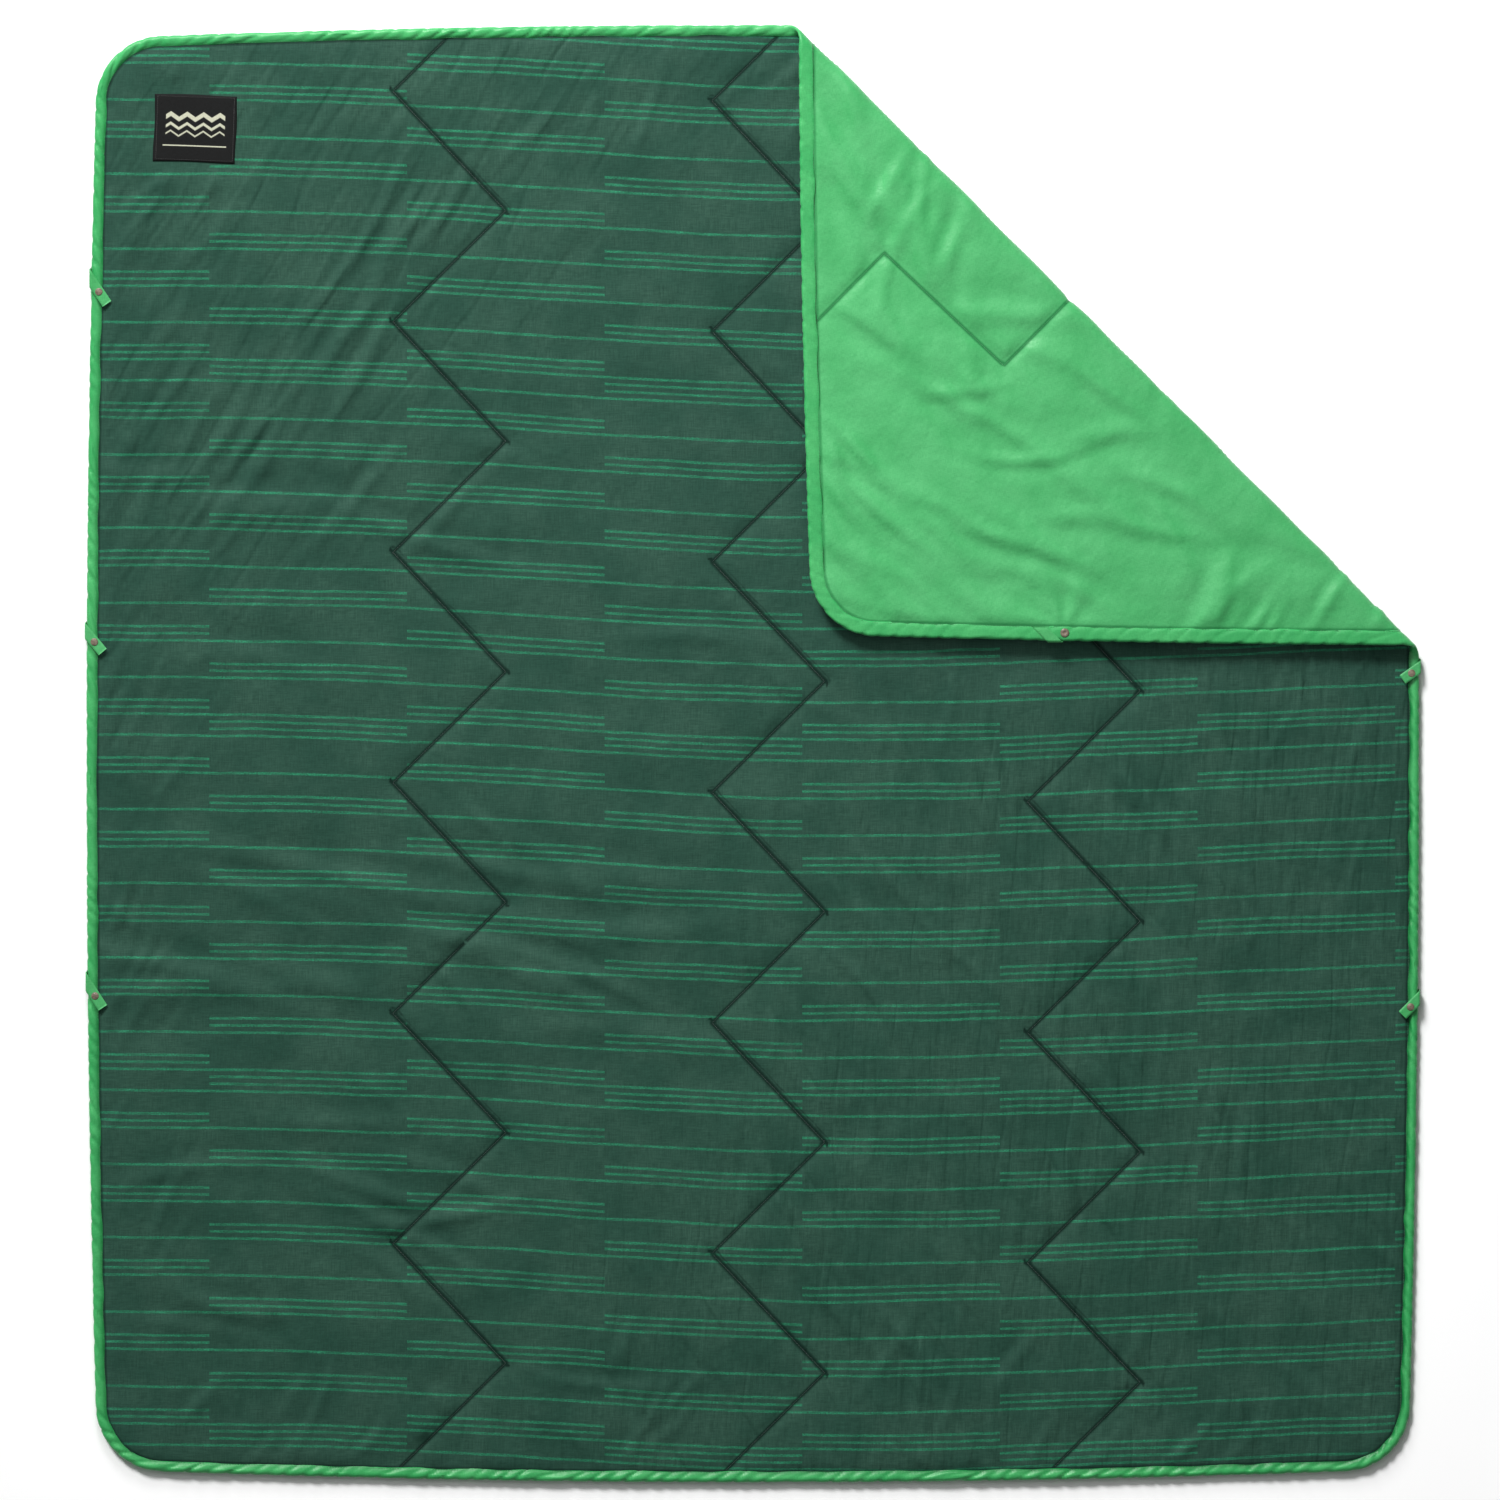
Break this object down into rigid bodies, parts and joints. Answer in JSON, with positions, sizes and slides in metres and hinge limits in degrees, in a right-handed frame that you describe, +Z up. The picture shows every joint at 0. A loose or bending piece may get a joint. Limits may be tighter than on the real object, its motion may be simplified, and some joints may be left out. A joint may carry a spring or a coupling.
{
  "type": "camp blanket",
  "caption": "Quilted synthetic camp blanket with a bound edge, folded-over corner and press-stud closing tabs along both sides.",
  "frame": {"origin": "on the ground under the middle of the spread-out blanket", "axes": "+X towards the side with the folded corner, +Y towards the head edge, +Z up from the ground"},
  "size_m": [1.8264, 1.99, 0.037],
  "materials": {
    "face_cloth": "matt printed plain-weave polyester",
    "lining_cloth": "satin taffeta polyester",
    "insulation": "matt bonded polyester wadding",
    "binding_tape": "satin bias-cut taffeta",
    "strap_cloth": "satin folded self-fabric",
    "thread": "matt polyester thread",
    "label_cloth": "matt woven damask",
    "label_thread": "matt thread",
    "press_stud": "satin moulded acetal"
  },
  "bodies": {
    "main": {"face_fabric_main": "face_cloth", "insulation_main": "insulation", "lining_main": "lining_cloth", "quilting_thread_main": "thread", "binding_main": "binding_tape", "face_fabric_fold": "face_cloth", "insulation_fold": "insulation", "lining_fold": "lining_cloth", "binding_fold_head": "binding_tape", "binding_fold_side": "binding_tape", "label": "label_cloth", "label_stitching": "label_thread", "strap_root_left_top": "strap_cloth", "snap_stud_left_top": "press_stud", "snap_post_left_top": "press_stud", "strap_root_left_middle": "strap_cloth", "snap_stud_left_middle": "press_stud", "snap_post_left_middle": "press_stud", "strap_root_left_bottom": "strap_cloth", "snap_stud_left_bottom": "press_stud", "snap_post_left_bottom": "press_stud", "strap_root_right_middle": "strap_cloth", "snap_stud_right_middle": "press_stud", "snap_post_right_middle": "press_stud", "strap_root_right_bottom": "strap_cloth", "snap_stud_right_bottom": "press_stud", "snap_post_right_bottom": "press_stud"},
    "corner": {"face_fabric_corner": "face_cloth", "insulation_corner": "insulation", "lining_corner": "lining_cloth", "quilting_thread_corner": "thread", "binding_corner": "binding_tape", "strap_root_right_top": "strap_cloth", "snap_stud_right_top": "press_stud", "snap_post_right_top": "press_stud"},
    "tab_left_top": {"strap_flap_left_top": "strap_cloth", "snap_cap_left_top": "press_stud", "snap_socket_left_top": "press_stud"},
    "tab_left_middle": {"strap_flap_left_middle": "strap_cloth", "snap_cap_left_middle": "press_stud", "snap_socket_left_middle": "press_stud"},
    "tab_left_bottom": {"strap_flap_left_bottom": "strap_cloth", "snap_cap_left_bottom": "press_stud", "snap_socket_left_bottom": "press_stud"},
    "tab_right_top": {"strap_flap_right_top": "strap_cloth", "snap_cap_right_top": "press_stud", "snap_socket_right_top": "press_stud"},
    "tab_right_middle": {"strap_flap_right_middle": "strap_cloth", "snap_cap_right_middle": "press_stud", "snap_socket_right_middle": "press_stud"},
    "tab_right_bottom": {"strap_flap_right_bottom": "strap_cloth", "snap_cap_right_bottom": "press_stud", "snap_socket_right_bottom": "press_stud"}
  },
  "joints": [
    {"name": "corner_fold", "type": "hinge", "parent": "main", "child": "corner", "pos_m": [0.52911, 0.52911, 0.0185], "axis": [-0.7071, 0.7071, 0], "range_deg": [0, 180], "deforming": ["face_fabric_fold", "insulation_fold", "lining_fold", "binding_fold_head", "binding_fold_side"]},
    {"name": "tab_hinge_left_top", "type": "hinge", "parent": "main", "child": "tab_left_top", "pos_m": [-0.90636, 0.65, 0.0155], "axis": [0, -1, 0], "range_deg": [0, 170]},
    {"name": "tab_hinge_left_middle", "type": "hinge", "parent": "main", "child": "tab_left_middle", "pos_m": [-0.91256, 0.168, 0.0155], "axis": [0, -1, 0], "range_deg": [0, 170]},
    {"name": "tab_hinge_left_bottom", "type": "hinge", "parent": "main", "child": "tab_left_bottom", "pos_m": [-0.91148, -0.311, 0.0155], "axis": [0, -1, 0], "range_deg": [0, 170]},
    {"name": "tab_hinge_right_top", "type": "hinge", "parent": "corner", "child": "tab_right_top", "pos_m": [0.41223, 0.15178, 0.0215], "axis": [-1, 0, 0], "range_deg": [0, 8]},
    {"name": "tab_hinge_right_middle", "type": "hinge", "parent": "main", "child": "tab_right_middle", "pos_m": [0.91278, 0.119, 0.0155], "axis": [0, 1, 0], "range_deg": [0, 170]},
    {"name": "tab_hinge_right_bottom", "type": "hinge", "parent": "main", "child": "tab_right_bottom", "pos_m": [0.91126, -0.333, 0.0155], "axis": [0, 1, 0], "range_deg": [0, 170]}
  ]
}
